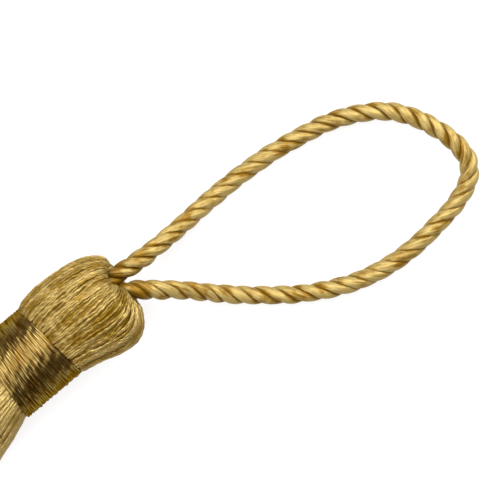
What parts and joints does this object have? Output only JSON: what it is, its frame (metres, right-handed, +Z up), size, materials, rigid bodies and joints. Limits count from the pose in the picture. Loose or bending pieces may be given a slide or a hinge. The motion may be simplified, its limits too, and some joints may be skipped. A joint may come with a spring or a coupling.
{
  "type": "silk tassel with a twisted cord hanging loop",
  "caption": "Satin yarn tassel lying on its side, with a rounded head, a wound neck binding, a full skirt of cut yarn and a hanging loop of twisted cord.",
  "frame": {"origin": "on the surface that the tassel lies on, under the middle of the head, neck and skirt, the loop left out", "axes": "+X along the tassel from the skirt's cut ends to the head and its loop, +Y to its side, +Z up"},
  "size_m": [0.1485, 0.0423, 0.0168],
  "materials": {
    "skein_yarn": "light gold satin yarn, softly twisted in two plies",
    "binding_thread": "gold satin thread wound tight, strong sheen across the turns",
    "twisted_cord": "bright gold satin cord of three strands, laid up right-handed"
  },
  "bodies": {
    "root": {"yarn_bundle": "skein_yarn", "neck_wrap": "binding_thread", "hanging_loop": "twisted_cord"}
  },
  "joints": []
}
